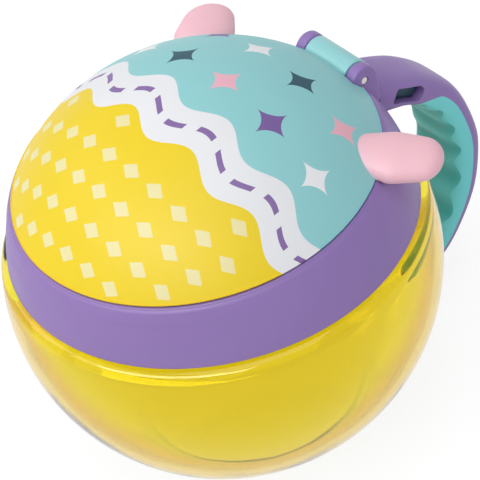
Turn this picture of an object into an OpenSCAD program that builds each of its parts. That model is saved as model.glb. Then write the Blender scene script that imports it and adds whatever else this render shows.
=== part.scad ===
// Toddler snack container: a ball-shaped clear cup with a screw collar, a flip-top dome lid,
// a soft slit closure in the mouth, two soft ears and a C-shaped carrying handle.
// Frame: millimetres, +Z up, the front towards -Y, the hinge and handle towards +Y.
// The origin is the middle of the flat resting face.

/* [Cup] */
// Outside radius of the ball
ball_r = 48; // [44:0.5:52]
// Height of the ball's centre above the resting face
ball_z = 41; // [39:0.5:43]
// Wall of the cup
cup_wall = 1.8; // [1.4:0.1:2.4]
// Thickness of the cup's floor
floor_t = 2.4; // [1.8:0.1:3.2]
// Radius where the floor turns up into the wall
base_fillet = 4; // [3:0.5:6]
// Radius of the rounded shoulder
shoulder_fillet = 2.5; // [1.5:0.1:3]
// Width of the ledge between the shoulder's edge and the threaded neck
neck_step = 4.5; // [4.3:0.1:5]
// Height of the neck above the shoulder
neck_h = 8.8; // [8.6:0.1:9.4]

/* [Thread] */
// Rise of one full turn of the thread
thread_lead = 12; // [10:0.5:13]
// Height of a thread ridge above its wall
thread_depth = 1; // [0.8:0.05:1.1]
// Thickness of a thread ridge where it meets its wall
thread_t = 1.6; // [1.2:0.1:1.8]
// Gap between the neck's and the collar's thread flanks
thread_gap = 0.3; // [0.2:0.05:0.5]
// Angle that one ridge runs for
thread_span = 100; // [80:5:105]

/* [Collar] */
// Gap between two pieces that move past each other
part_gap = 0.3; // [0.2:0.05:0.4]
// Height of the lid's parting line above the ball's centre
rim_h = 26.9; // [26.4:0.1:28]
// Height of the parting line above the cup's shoulder
band_h = 15.7; // [15.5:0.1:16.5]
// Slope of the lid's parting plane down to the front, in degrees
lid_tilt = 2.3; // [0:0.1:3]
// Thickness of the collar's raised rim
collar_rim_t = 2.7; // [2.2:0.1:3]
// Depth of the lid's seat below the parting line
seat_depth = 2.6; // [2.2:0.1:2.8]
// Width of the deck between the collar's rim and the mouth
deck_w = 4.5; // [4:0.1:6]
// Thickness of the gasket under the deck
seal_t = 1; // [0.8:0.1:1.4]
// Width of the gasket
seal_w = 2.6; // [2:0.1:3]

/* [Soft closure] */
// Thickness of the flaps
flap_t = 1.4; // [1:0.1:2]
// Width of the slit between two flaps
flap_slit = 0.5; // [0.4:0.1:1]
// Width of the soft ring's face inside the mouth
flap_ring_w = 4; // [3:0.5:6]

/* [Lid] */
// How far the dome stands out beyond the ball's own sphere
dome_rise = 0.5; // [0.3:0.1:1]
// Wall of the dome
dome_wall = 1.8; // [1.4:0.1:2.4]
// Thickness of the inner lid panel
liner_t = 1.7; // [1.4:0.1:2]
// Depth of the plug below the inner panel
plug_depth = 1.6; // [1:0.1:2]
// Wall of the plug
plug_wall = 1.6; // [1.2:0.1:2]
// Thickness of the lip seal round the plug
lip_t = 0.9; // [0.7:0.1:1.2]

/* [Hinge] */
// Distance of the pin's axis in front of the lid's edge
hinge_inset = 1.4; // [1:0.1:1.8]
// Height of the pin's axis above the parting line
hinge_rise = 2.7; // [2.4:0.1:3.2]
// Outside radius of the barrel and the lugs
hinge_r = 3.5; // [3.2:0.1:3.9]
// Length of the lid's barrel
barrel_w = 13.4; // [11:0.2:15]
// Thickness of each lug on the collar
lug_t = 2.8; // [2.2:0.1:4]
// Radius of the hinge pin
pin_r = 1; // [0.8:0.1:1.5]
// Radial clearance of the pin in the barrel
pin_fit = 0.05; // [0.02:0.01:0.08]

/* [Ears] */
// Direction of each ear, measured from straight back, in degrees
ear_dir = 47.9; // [44:0.1:52]
// How far an ear reaches out beyond the lid's rim
ear_reach = 13.1; // [10:0.1:16]
// Width of an ear
ear_w = 15.2; // [12:0.2:17]
// Thickness of an ear
ear_t = 7; // [6:0.2:8]
// Radius of the stem that holds an ear in the dome
ear_stem_r = 1.8; // [1.4:0.1:2]

/* [Handle] */
// How far the handle stands out beyond the ball
handle_reach = 20.3; // [19:0.1:24]
// Width of the handle
handle_w = 16; // [14:0.5:18]
// How far the key under the handle's root stands out of the collar
key_l = 1.3; // [0.8:0.1:1.5]
// Share of the handle's depth that the grip takes up
grip_part = 0.6; // [0.45:0.05:0.7]
// Height of the waves on the grip
wave_h = 0.9; // [0:0.1:1.2]

/* [Hidden] */
$fn = 96;

yellow_clear = [0.93, 0.80, 0.20, 0.6];
purple = [0.55, 0.44, 0.70];
teal = [0.58, 0.80, 0.81];
soft_teal = [0.25, 0.62, 0.61];
pink = [0.96, 0.74, 0.78];
pale = [0.93, 0.94, 0.95];
steel = [0.75, 0.76, 0.78];
big = 200;
// Depth that a ridge is sunk into its wall
bond = 0.2;
thread_starts = 3;
flap_count = 8;

// Cup
shoulder_h = rim_h - band_h;
neck_top = shoulder_h + neck_h;
fillet_x = sqrt(pow(ball_r - base_fillet, 2) - pow(ball_z - base_fillet, 2));
base_scale = ball_r / (ball_r - base_fillet);
ledge_x = sqrt(pow(ball_r - shoulder_fillet, 2) - pow(shoulder_h - shoulder_fillet, 2));
ledge_scale = ball_r / (ball_r - shoulder_fillet);
neck_r = ledge_x - neck_step;
neck_in = neck_r - cup_wall;

// Lid
dome_r = ball_r + dome_rise;
rim_r = sqrt(dome_r * dome_r - rim_h * rim_h);

// Collar
skirt_low = shoulder_h + part_gap;
skirt_in = neck_r + thread_depth + part_gap + bond;
collar_low_r = ledge_x + 0.6;
collar_top_r = rim_r + 0.3;
collar_c = (pow(collar_low_r, 2) + pow(skirt_low, 2) - pow(collar_top_r, 2) - pow(rim_h, 2))
    / (2 * (skirt_low - rim_h));
collar_r = sqrt(pow(collar_low_r, 2) + pow(skirt_low - collar_c, 2));
deck_low = neck_top + seal_t + 0.2;
rim_in = collar_top_r - collar_rim_t;
rim_gap = 0.25;
mouth_r = rim_in - deck_w;

// Thread: the collar's ridges run just under the neck's
female_tip = neck_r + 0.45;
male_z = shoulder_h + 3.4;
female_z = male_z - 0.62 * thread_t - thread_gap;

// Soft closure
clip_w = 2.2;
clip_t = 0.9;
ring_wall = 1.3;
ring_rise = 1.5;
flap_face = mouth_r - flap_ring_w + 0.2;
flap_low = deck_low - clip_t;
flap_edge = flap_face * cos(180 / flap_count) - 0.3;

// Lid's inside: it swings forwards a little as the lid opens
liner_r = rim_in - part_gap - 0.3;
plug_r = mouth_r - ring_wall - part_gap - lip_t;

// Hinge
hinge_y = rim_r - hinge_inset;
pin_z = ball_z + rim_h + hinge_rise;
lug_in = barrel_w / 2 + part_gap;
lug_out = lug_in + lug_t;
sweep_r = hinge_r + part_gap + 0.15;

lug_foot = ball_z + neck_top - 2.4;

// Key under the handle's root
key_z = shoulder_h + 4.8;
key_h = 4.2;

// Ear
ear_stem_l = 9;

module at_ball() {
    translate([0, 0, ball_z]) children();
}

// Frame of the lid's parting plane, tilted about the ball's centre
module at_rim() {
    at_ball() rotate([lid_tilt, 0, 0]) translate([0, 0, rim_h]) children();
}

// The same plane above the middle of the mouth
module at_plug() {
    at_rim() translate([0, rim_h * tan(lid_tilt), 0]) children();
}

// Solid about the hinge axis, half_w to each side of the middle
module hinge_cylinder(r, half_w) {
    translate([-half_w, hinge_y, pin_z]) rotate([0, 90, 0]) cylinder(r = r, h = 2 * half_w);
}

// Side view in Y and Z, drawn out along X from x0 to x1
module side_extrude(x0, x1) {
    translate([x0, 0, 0]) rotate([90, 0, 90]) linear_extrude(x1 - x0) children();
}

module ring(r_out, r_in, z0, z1) {
    translate([0, 0, z0]) difference() {
        cylinder(r = r_out, h = z1 - z0);
        translate([0, 0, -1]) cylinder(r = r_in, h = z1 - z0 + 2);
    }
}

// Cup

module cup_outline() {
    difference() {
        union() {
            intersection() {
                circle(ball_r);
                translate([0, -(ball_z - base_fillet) * base_scale])
                    square([big, (ball_z - base_fillet) * base_scale
                        + (shoulder_h - shoulder_fillet) * ledge_scale]);
            }
            translate([fillet_x, base_fillet - ball_z]) circle(base_fillet);
            polygon([[0, -ball_z], [fillet_x, -ball_z],
                [fillet_x * base_scale, (base_fillet - ball_z) * base_scale],
                [0, (base_fillet - ball_z) * base_scale]]);
            translate([ledge_x, shoulder_h - shoulder_fillet]) circle(shoulder_fillet);
            polygon([[0, 0], [ledge_x * ledge_scale, (shoulder_h - shoulder_fillet) * ledge_scale],
                [ledge_x, shoulder_h], [0, shoulder_h]]);
            square([neck_r, neck_top]);
        }
        cup_hollow();
        translate([-big, -big / 2]) square([big, big]);
    }
}

module cup_hollow() {
    intersection() {
        circle(ball_r - cup_wall);
        translate([0, floor_t - ball_z]) square([big, ball_z - floor_t + shoulder_h - cup_wall]);
    }
    square([neck_in, big / 2]);
}

// One thread ridge: a trapezoid carried along a helix, from angle a0
module thread_ridge(root_r, tip_r, z_mid, a0) {
    steps = 16;
    section = [[root_r, -thread_t / 2], [tip_r, -thread_t / 4],
        [tip_r, thread_t / 4], [root_r, thread_t / 2]];
    points = [for (i = [0:steps], p = section)
        let (a = thread_span * i / steps)
        [p[0] * cos(a0 + a), p[0] * sin(a0 + a), z_mid + p[1] + thread_lead * a / 360]];
    sides = [for (i = [0:steps - 1], k = [0:3])
        [4 * i + k, 4 * i + (k + 1) % 4, 4 * i + 4 + (k + 1) % 4, 4 * i + 4 + k]];
    halves = [for (q = sides, h = [0, 1]) h == 0 ? [q[0], q[1], q[2]] : [q[0], q[2], q[3]]];
    last = 4 * steps;
    outward = root_r < tip_r;
    faces = concat(halves, [[0, 3, 2], [0, 2, 1]],
        [[last, last + 1, last + 2], [last, last + 2, last + 3]]);
    polyhedron(points, outward ? faces : [for (f = faces) [f[2], f[1], f[0]]]);
}

module cup_shell() {
    color(yellow_clear) at_ball() {
        rotate_extrude() cup_outline();
        for (i = [0:thread_starts - 1])
            thread_ridge(neck_r - bond, neck_r + thread_depth, male_z, 360 * i / thread_starts);
    }
}

// Collar

module collar_outline() {
    difference() {
        intersection() {
            translate([0, collar_c]) circle(collar_r);
            translate([mouth_r, skirt_low]) square([big, rim_h + 6 - skirt_low]);
        }
        square([skirt_in, deck_low]);
    }
}

module lug_outline() {
    front = hinge_y - hinge_r + 0.4;
    translate([hinge_y, pin_z]) circle(hinge_r);
    polygon([[front, pin_z], [hinge_y + hinge_r, pin_z], [hinge_y + 3.4, lug_foot + 6],
        [hinge_y + 1.2, lug_foot], [hinge_y - 2, lug_foot], [front, lug_foot + 5]]);
}

module lugs() {
    for (s = [-1, 1])
        side_extrude(s > 0 ? lug_in : -lug_out, s > 0 ? lug_out : -lug_in) lug_outline();
}

// Block behind the collar that the handle's root is pressed over
module key() {
    y1 = sqrt(pow(collar_r, 2) - pow(key_z + key_h / 2 - collar_c, 2)) + key_l;
    translate([-handle_w / 2 + 3, skirt_in - 1, ball_z + key_z])
        cube([handle_w - 6, y1 - skirt_in + 1, key_h]);
}

module collar() {
    color(purple) difference() {
        union() {
            difference() {
                at_ball() rotate_extrude() collar_outline();
                at_rim() {
                    translate([0, 0, -rim_gap]) cylinder(r = big, h = big);
                    translate([0, 0, -seat_depth]) cylinder(r = rim_in, h = big);
                }
                hinge_cylinder(sweep_r, lug_in);
            }
            difference() {
                union() {
                    lugs();
                    key();
                }
                at_ball() translate([0, 0, skirt_low - big]) cylinder(r = skirt_in,
                    h = deck_low - skirt_low + big);
            }
            at_ball() for (i = [0:thread_starts - 1])
                thread_ridge(skirt_in + bond, female_tip, female_z, 360 * i / thread_starts);
        }
        at_ball() cylinder(r = mouth_r, h = big);
        hinge_cylinder(pin_r, lug_out + 1);
    }
}

module collar_seal() {
    color(pale) at_ball() ring(neck_r, neck_r - seal_w, neck_top + 0.1, deck_low - 0.1);
}

// Soft closure: one ring clipped over the deck's inner edge, and its flaps

module flap_ring() {
    color(soft_teal) at_ball() difference() {
        translate([0, 0, flap_low]) union() {
            cylinder(r = mouth_r + clip_w, h = clip_t);
            cylinder(r = mouth_r, h = clip_t + ring_rise);
        }
        translate([0, 0, flap_low + flap_t]) cylinder(r = mouth_r - ring_wall, h = big);
        rotate([0, 0, 180 / flap_count]) cylinder(r = flap_face, h = big, $fn = flap_count);
    }
}

module flap(i) {
    half_w = flap_edge * tan(180 / flap_count) - flap_slit;
    color(soft_teal) at_ball() rotate([0, 0, 360 * (i - 1) / flap_count])
        translate([0, 0, flap_low]) linear_extrude(flap_t)
            polygon([[1.2, 0], [flap_edge, half_w], [flap_edge, -half_w]]);
}

// Lid

// Part above the parting plane of a sphere round the ball's centre
module dome_cap(r) {
    intersection() {
        translate([0, 0, -rim_h]) sphere(r);
        cylinder(r = big, h = big);
    }
}

module dome_wall_shell() {
    difference() {
        dome_cap(dome_r);
        translate([0, 0, -rim_h]) sphere(dome_r - dome_wall);
    }
}

module lid_dome() {
    color(teal) difference() {
        union() {
            difference() {
                at_rim() {
                    dome_wall_shell();
                    intersection() {
                        ring(rim_r, liner_r - 4, 0, 1.4);
                        dome_cap(dome_r - dome_wall / 2);
                    }
                }
                hinge_cylinder(sweep_r, lug_out + part_gap);
            }
            hinge_cylinder(hinge_r, barrel_w / 2);
            intersection() {
                at_rim() dome_wall_shell();
                hinge_cylinder(sweep_r + 1, barrel_w / 2);
            }
        }
        hinge_cylinder(pin_r + pin_fit, lug_out);
        for (s = [-1, 1]) ear_stem(s);
    }
}

module lid_liner() {
    color(pale) difference() {
        union() {
            at_rim() translate([0, 0, -liner_t]) cylinder(r = liner_r, h = liner_t);
            at_plug() ring(plug_r, plug_r - plug_wall, -liner_t - plug_depth, -liner_t);
        }
        hinge_cylinder(sweep_r, lug_out + part_gap);
    }
}

module lid_seal() {
    color(soft_teal) at_plug()
        ring(plug_r + lip_t, plug_r, -liner_t - plug_depth, -liner_t);
}

// Ears

module at_ear(s) {
    at_rim() rotate([0, 0, 90 - s * ear_dir]) children();
}

module ear_stem(s) {
    at_ear(s) translate([rim_r - 2 - ear_stem_l, 0, 3.1]) rotate([0, 90, 0])
        cylinder(r = ear_stem_r, h = ear_stem_l);
}

module ear_lobe(middle, radii) {
    translate(middle) scale(radii) sphere(1, $fn = 32);
}

module ear(s) {
    color(pink) {
        difference() {
            at_ear(s) hull() {
                ear_lobe([rim_r - 4.5, -s * 0.1, 1.1], [3, ear_w * 0.34, ear_t * 0.62]);
                ear_lobe([rim_r + 2.5, -s * 0.3, 0.4], [4.5, ear_w * 0.46, ear_t * 0.52]);
                ear_lobe([rim_r + ear_reach - 5, 0, -0.8], [5, ear_w * 0.4, ear_t * 0.46]);
            }
            at_rim() translate([0, 0, -rim_h]) sphere(dome_r);
            intersection() {
                at_ball() translate([0, 0, collar_c]) sphere(collar_r + part_gap + 0.15);
                at_rim() translate([0, 0, -big]) cylinder(r = big, h = big);
            }
        }
        difference() {
            ear_stem(s);
            at_rim() translate([0, 0, -rim_h]) sphere(dome_r - dome_wall - 1);
        }
    }
}

// Hinge pin

module hinge_pin() {
    color(steel) hinge_cylinder(pin_r, lug_out - 0.2);
}

// Handle: the side view's outer and inner edges, measured outwards from the ball and up
// from its centre, from the root down to the free end

handle_outer = [[-5, 23.8], [3, 20.4], [10.5, 15.7], [17, 8.4], [20.3, -3], [20.2, -11],
    [16.7, -21.4], [8.8, -30.8], [0.8, -35.4], [-5, -36.6]];
handle_inner = [[-5, 15], [2.4, 12.4], [6.8, 8.4], [10.2, 3.4], [11.8, -3], [11.8, -10],
    [9.4, -18], [4.8, -25], [-0.2, -29.6], [-4.6, -31.6]];
slot_points = [[-2, 17.1], [0.1, 19.9], [6.9, 16.4], [6.9, 14.7], [4.9, 13.3]];
bridge_points = [[3.4, 14.6], [6.2, 15], [8.2, 9.6], [5.6, 10.4]];
// Ball radius, parting line and reach that these points are drawn for
drawn_r = 48;
drawn_rim = 26.9;
drawn_reach = 20.3;
loft_last = len(handle_outer) - 1;
loft_sides = 20;
arc_last = 14;
grip_from = 1.3;
grip_to = loft_last - 0.12;
grip_steps = 21;
grip_rows = [for (i = [0:grip_steps]) grip_from + (grip_to - grip_from) * i / grip_steps];
frame_rows = concat([0, grip_from / 2], grip_rows, [loft_last]);

// Smooth curve through the points of a list
function spline(p, t) =
    let (n = len(p) - 1, i = min(floor(t), n - 1), u = t - i,
        a = p[max(i - 1, 0)], b = p[i], c = p[i + 1], d = p[min(i + 2, n)])
    0.5 * (2 * b + (c - a) * u + (2 * a - 5 * b + 4 * c - d) * u * u
        + (3 * b - a - 3 * c + d) * u * u * u);

function handle_place(q) = [ball_r + q[0] * (q[0] > 0 ? handle_reach / drawn_reach : 1),
    ball_z + q[1] * (q[1] > 0 ? rim_h / drawn_rim : ball_r / drawn_r)];

// Share of the depth, from the inside, that the grip takes up along the handle
function grip_share(t) = t < grip_from || t > grip_to ? -1
    : min(grip_part, 0.1 + (t - grip_from) * 0.45);

// Rounded section at t, split at a share of its depth: the outer part for the frame,
// the inner part with finger waves for the grip. The arc's corners come first, then the flat's.
function handle_section(t, grip) =
    let (o = handle_place(spline(handle_outer, t)), q = handle_place(spline(handle_inner, t)),
        depth = norm(o - q), dir = (o - q) / depth, mid = (o + q) / 2,
        end = min(1, sqrt(max(0.02, (loft_last - t) * 1.6))),
        half_w = handle_w / 2 * end, half_d = depth / 2 * end,
        split = min(0.97, max(-0.97, (grip_share(t) - 0.5) * depth / half_d)),
        a_split = asin(sign(split) * pow(abs(split), 1 / 0.6)),
        a0 = grip ? 180 - a_split : a_split,
        a1 = grip ? 360 + a_split : 180 - a_split,
        wave = grip ? wave_h * (1 - cos(360 * (t - grip_from) / 0.95)) / 2 : 0,
        flat_w = half_w * pow(cos(a_split), 0.55))
    [for (k = [0:loft_sides - 1])
        let (flat = k - arc_last, a = a0 + (a1 - a0) * min(k / arc_last, 1), s = sin(a),
            u = flat > 0 ? (grip ? 1 : -1) * flat_w * (1 - 2 * flat / (loft_sides - arc_last))
                : half_w * sign(cos(a)) * pow(abs(cos(a)), 0.55),
            v = flat > 0 ? half_d * split
                : half_d * sign(s) * pow(abs(s), 0.6) + (s < 0 ? wave * s * s : 0),
            p = mid + v * dir)
        [u, p[0], p[1]]];

// Skin through the sections; its end faces fan out from the middle of the arc
module handle_loft(sections) {
    n = loft_sides;
    apex = arc_last / 2;
    last = len(sections) - 1;
    points = [for (r = sections, p = r) p];
    walls = [for (i = [0:last - 1], k = [0:n - 1], h = [0, 1])
        let (a = n * i + k, b = n * i + (k + 1) % n)
        h == 0 ? [a, b, b + n] : [a, b + n, a + n]];
    ends = [for (k = [1:n - 2], h = [0, 1])
        let (a = (apex + k) % n, b = (apex + k + 1) % n)
        h == 0 ? [apex, b, a] : [n * last + apex, n * last + a, n * last + b]];
    polyhedron(points, concat(walls, ends));
}

module handle_profile(list, half_w) {
    side_extrude(-half_w, half_w) polygon([for (q = list) handle_place(q)]);
}

module grip_bridge() {
    handle_profile(bridge_points, handle_w / 2 - 5);
}

module handle_frame() {
    color(purple) difference() {
        handle_loft([for (t = frame_rows) handle_section(t, false)]);
        at_ball() translate([0, 0, collar_c]) sphere(collar_r);
        key();
        lugs();
        hinge_cylinder(sweep_r, lug_in);
        handle_profile(slot_points, handle_w);
        grip_bridge();
    }
}

module handle_grip() {
    color(soft_teal) {
        handle_loft([for (t = grip_rows) handle_section(t, true)]);
        handle_profile(slot_points, handle_w / 2 - 2.1);
        grip_bridge();
    }
}

cup_shell();
collar();
collar_seal();
flap_ring();
flap(1);  // flap_1
flap(2);  // flap_2
flap(3);  // flap_3
flap(4);  // flap_4
flap(5);  // flap_5
flap(6);  // flap_6
flap(7);  // flap_7
flap(8);  // flap_8
lid_dome();
lid_liner();
lid_seal();
ear(-1);  // ear_left
ear(1);  // ear_right
hinge_pin();
handle_frame();
handle_grip();
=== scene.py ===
"""Toddler snack container: a clear ball-shaped cup with a screw collar, a flip-top dome lid,
a soft slit closure, two soft ears and a carrying handle. Metres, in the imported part's frame.
MM turns millimetres into metres."""
import math

import bpy
from mathutils import Matrix, Vector


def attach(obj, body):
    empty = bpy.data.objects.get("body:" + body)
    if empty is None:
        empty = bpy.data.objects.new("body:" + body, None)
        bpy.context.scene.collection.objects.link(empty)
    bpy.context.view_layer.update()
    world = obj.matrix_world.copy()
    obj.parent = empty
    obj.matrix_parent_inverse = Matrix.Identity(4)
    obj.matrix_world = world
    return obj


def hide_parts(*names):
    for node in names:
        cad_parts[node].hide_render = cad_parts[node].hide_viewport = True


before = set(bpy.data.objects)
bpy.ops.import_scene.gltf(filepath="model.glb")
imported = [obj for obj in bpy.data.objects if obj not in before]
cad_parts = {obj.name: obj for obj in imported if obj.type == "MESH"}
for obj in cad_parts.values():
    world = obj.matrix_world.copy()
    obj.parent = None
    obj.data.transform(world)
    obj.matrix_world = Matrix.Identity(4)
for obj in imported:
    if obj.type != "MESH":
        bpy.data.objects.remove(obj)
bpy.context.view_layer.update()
MM = 0.001

# Camera: it looks down on the lid from the right of the front, as the photograph does. The place
# comes from the ball's outline in the 480 pixel frame, measured from the middle of the ball.
ball_z = 41.0
view_from = Vector((453.915, -253.637, 468.677))
view_azimuth = math.radians(60.3)
view_elevation = math.radians(41.8)
view_roll = math.radians(-14.0)
focal_pixels = 3224.07
frame_pixels = 480.0
sensor_width = 36.0

view_back = Vector((
    math.sin(view_azimuth) * math.cos(view_elevation),
    -math.cos(view_azimuth) * math.cos(view_elevation),
    math.sin(view_elevation)))
level_right = (-view_back).cross(Vector((0, 0, 1))).normalized()
level_up = level_right.cross(-view_back)
view_right = math.cos(view_roll) * level_right + math.sin(view_roll) * level_up
view_up = math.cos(view_roll) * level_up - math.sin(view_roll) * level_right

bpy.ops.object.select_all(action="DESELECT")
bpy.ops.object.camera_add()
camera = bpy.context.object
camera.name = "camera"
turn = Matrix((view_right, view_up, view_back)).transposed().to_4x4()
camera.matrix_world = Matrix.Translation((view_from + Vector((0, 0, ball_z))) * MM) @ turn
camera.data.sensor_width = sensor_width
camera.data.lens = focal_pixels * sensor_width / frame_pixels
camera.data.clip_start = 0.01
bpy.context.scene.camera = camera
bpy.context.scene.view_settings.view_transform = "Standard"


# Light: a pale room with soft lamps high in front, on the left and overhead. A long narrow one only
# shows in reflections, and puts the bright crescent on the cup's shoulder.
def soft_lamp(name, place, width, height, watts):
    """A soft lamp, in metres and watts, that faces the container's middle."""
    bpy.ops.object.select_all(action="DESELECT")
    bpy.ops.object.light_add(type="AREA", location=place)
    lamp = bpy.context.object
    lamp.name = name
    lamp.data.shape = "RECTANGLE"
    lamp.data.size = width
    lamp.data.size_y = height
    lamp.data.energy = watts
    lamp.rotation_euler = (Vector(place) - lamp_aim).to_track_quat("Z", "Y").to_euler()
    return lamp


def background_rays(tree):
    """1 on the rays that show the background: straight, through glass and off a glossy face."""
    path = tree.nodes.new("ShaderNodeLightPath")
    seen = path.outputs["Is Camera Ray"]
    for kind in ("Is Transmission Ray", "Is Glossy Ray"):
        either = tree.nodes.new("ShaderNodeMath")
        either.operation = "MAXIMUM"
        tree.links.new(seen, either.inputs[0])
        tree.links.new(path.outputs[kind], either.inputs[1])
        seen = either.outputs[0]
    return seen


world = bpy.data.worlds.new("pale_room")
bpy.context.scene.world = world
world.use_nodes = True
room = world.node_tree
room.nodes.clear()
room_out = room.nodes.new("ShaderNodeOutputWorld")
room_light = room.nodes.new("ShaderNodeBackground")
room_light.inputs["Color"].default_value = (0.93, 0.96, 1.0, 1)
room_light.inputs["Strength"].default_value = 0.40
room_seen = room.nodes.new("ShaderNodeBackground")
room_seen.inputs["Color"].default_value = (1, 1, 1, 1)
room_seen.inputs["Strength"].default_value = 1.0
room_mix = room.nodes.new("ShaderNodeMixShader")
room.links.new(background_rays(room), room_mix.inputs["Fac"])
room.links.new(room_light.outputs[0], room_mix.inputs[1])
room.links.new(room_seen.outputs[0], room_mix.inputs[2])
room.links.new(room_mix.outputs[0], room_out.inputs["Surface"])

lamp_aim = Vector((0, 0, 0.05))
soft_lamp("key_lamp", (0.02, -0.8, 0.92), 1.3, 0.5, 4.6)
soft_lamp("left_lamp", (-0.75, -0.45, 0.7), 0.5, 0.5, 1.6)
soft_lamp("top_lamp", (0.25, -0.1, 1.15), 0.8, 0.8, 4.0)
crescent_lamp = soft_lamp("crescent_lamp", (0.26, -0.70, 0.85), 1.3, 0.3, 10.0)
crescent_lamp.visible_diffuse = False

# Floor: a pale table top that runs past the view on all sides. Three quarters of what the camera
# sees of it is a white glow, and the rest takes the container's shadow.
bpy.ops.object.select_all(action="DESELECT")
bpy.ops.mesh.primitive_plane_add(size=6.0, location=(0, 0, -0.0001))
floor = bpy.context.object
floor.name = "floor"
floor_paint = bpy.data.materials.new("pale_floor")
floor_paint.use_nodes = True
floor_tree = floor_paint.node_tree
floor_bsdf = floor_tree.nodes["Principled BSDF"]
floor_bsdf.inputs["Base Color"].default_value = (0.93, 0.93, 0.93, 1)
floor_bsdf.inputs["Roughness"].default_value = 0.7
floor_glow = floor_tree.nodes.new("ShaderNodeEmission")
floor_glow.inputs["Strength"].default_value = 1.12
floor_share = floor_tree.nodes.new("ShaderNodeMath")
floor_share.operation = "MULTIPLY"
floor_share.inputs[1].default_value = 0.75
floor_mix = floor_tree.nodes.new("ShaderNodeMixShader")
floor_out = floor_tree.nodes["Material Output"]
floor_tree.links.new(background_rays(floor_tree), floor_share.inputs[0])
floor_tree.links.new(floor_share.outputs[0], floor_mix.inputs["Fac"])
floor_tree.links.new(floor_bsdf.outputs[0], floor_mix.inputs[1])
floor_tree.links.new(floor_glow.outputs[0], floor_mix.inputs[2])
floor_tree.links.new(floor_mix.outputs[0], floor_out.inputs["Surface"])
floor.data.materials.append(floor_paint)


# Cup: one blown shell of clear plastic, tinted yellow, with a flat rest, a rounded shoulder and a
# neck. Its outline is turned about the upright axis. Three short thread ridges run up the neck.
ball_r = 48.0
cup_wall = 1.8
floor_t = 2.4
base_fillet = 4.0
shoulder_fillet = 2.5
shoulder_z = ball_z + 11.2
neck_top = shoulder_z + 8.8
neck_r = math.sqrt((ball_r - shoulder_fillet) ** 2 - (11.2 - shoulder_fillet) ** 2) - 4.5


def arc(middle, radius, start, stop, count):
    """Points (radius, height) on an arc about middle, from start to stop degrees."""
    points = []
    for i in range(count + 1):
        a = math.radians(start + (stop - start) * i / count)
        points.append((middle[0] + radius * math.cos(a), middle[1] + radius * math.sin(a)))
    return points


def turned(name, outline, steps=144):
    """A closed outline of (radius, height) in millimetres, turned about the upright axis."""
    bpy.ops.object.select_all(action="DESELECT")
    bpy.ops.mesh.primitive_plane_add(size=MM)
    piece = bpy.context.object
    piece.name = name
    bpy.ops.object.mode_set(mode="EDIT")
    bpy.ops.mesh.merge(type="CENTER")
    start = Vector((outline[0][0], 0, outline[0][1])) * MM
    bpy.ops.transform.translate(value=start)
    for a, b in zip(outline, outline[1:]):
        step = Vector((b[0] - a[0], 0, b[1] - a[1])) * MM
        bpy.ops.mesh.extrude_region_move(TRANSFORM_OT_translate={"value": step})
    bpy.ops.mesh.select_all(action="SELECT")
    bpy.ops.mesh.spin(steps=steps, angle=2 * math.pi, center=(0, 0, 0), axis=(0, 0, 1))
    bpy.ops.mesh.select_all(action="SELECT")
    bpy.ops.mesh.remove_doubles(threshold=0.004 * MM)
    bpy.ops.mesh.normals_make_consistent(inside=False)
    bpy.ops.object.mode_set(mode="OBJECT")
    return piece


def pick(piece, *others):
    """Selects the pieces and makes the first one active."""
    bpy.ops.object.select_all(action="DESELECT")
    for each in (piece, *others):
        each.select_set(True)
    bpy.context.view_layer.objects.active = piece


def smooth(piece, degrees=35):
    pick(piece)
    bpy.ops.object.shade_smooth_by_angle(angle=math.radians(degrees))


def finished(piece, kind, **settings):
    """Adds one modifier and applies it."""
    pick(piece)
    modifier = piece.modifiers.new(kind.lower(), kind)
    for key, value in settings.items():
        setattr(modifier, key, value)
    bpy.ops.object.modifier_apply(modifier=modifier.name)


def joined(piece, *others):
    pick(piece, *others)
    bpy.ops.object.join()


rest_r = math.sqrt((ball_r - base_fillet) ** 2 - (ball_z - base_fillet) ** 2)
rest_end = math.degrees(math.atan2(base_fillet - ball_z, rest_r))
ledge_r = neck_r + 4.5
ledge_end = math.degrees(math.atan2(shoulder_z - shoulder_fillet - ball_z, ledge_r))
inner_r = ball_r - cup_wall
inner_low = math.degrees(math.asin((floor_t + 2.0 - ball_z) / inner_r))
inner_top = shoulder_z - cup_wall - 0.4
inner_fillet = 3.0
inner_turn_r = math.sqrt((inner_r - inner_fillet) ** 2 - (inner_top - inner_fillet - ball_z) ** 2)
inner_high = math.degrees(math.atan2(inner_top - inner_fillet - ball_z, inner_turn_r))
cup_outline = [(0, 0), (rest_r * 0.5, 0)]
cup_outline += arc((rest_r, base_fillet), base_fillet, -90, rest_end, 8)
cup_outline += arc((0, ball_z), ball_r, rest_end, ledge_end, 44)[1:]
cup_outline += arc((ledge_r, shoulder_z - shoulder_fillet), shoulder_fillet, ledge_end, 90, 10)[1:]
cup_outline += arc((neck_r + 0.8, shoulder_z + 0.8), 0.8, 270, 180, 4)
cup_outline += arc((neck_r - 0.6, neck_top - 0.6), 0.6, 0, 90, 4)
cup_outline += arc((neck_r - cup_wall + 0.6, neck_top - 0.6), 0.6, 90, 180, 4)
cup_outline += arc((neck_r - cup_wall + 1.5, inner_top + 1.5), 1.5, 180, 270, 5)
cup_outline += arc((inner_turn_r, inner_top - inner_fillet), inner_fillet, 90, inner_high, 12)
cup_outline += arc((0, ball_z), inner_r, inner_high, inner_low, 44)[1:]
cup_outline += [(inner_r * math.cos(math.radians(inner_low)) - 2.4, floor_t + 0.5)]
cup_outline += [(inner_r * math.cos(math.radians(inner_low)) - 4.6, floor_t), (0, floor_t)]
cup = turned("cup", cup_outline, 160)

thread_lead = 12.0
thread_span = 100.0
thread_t = 1.6


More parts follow.
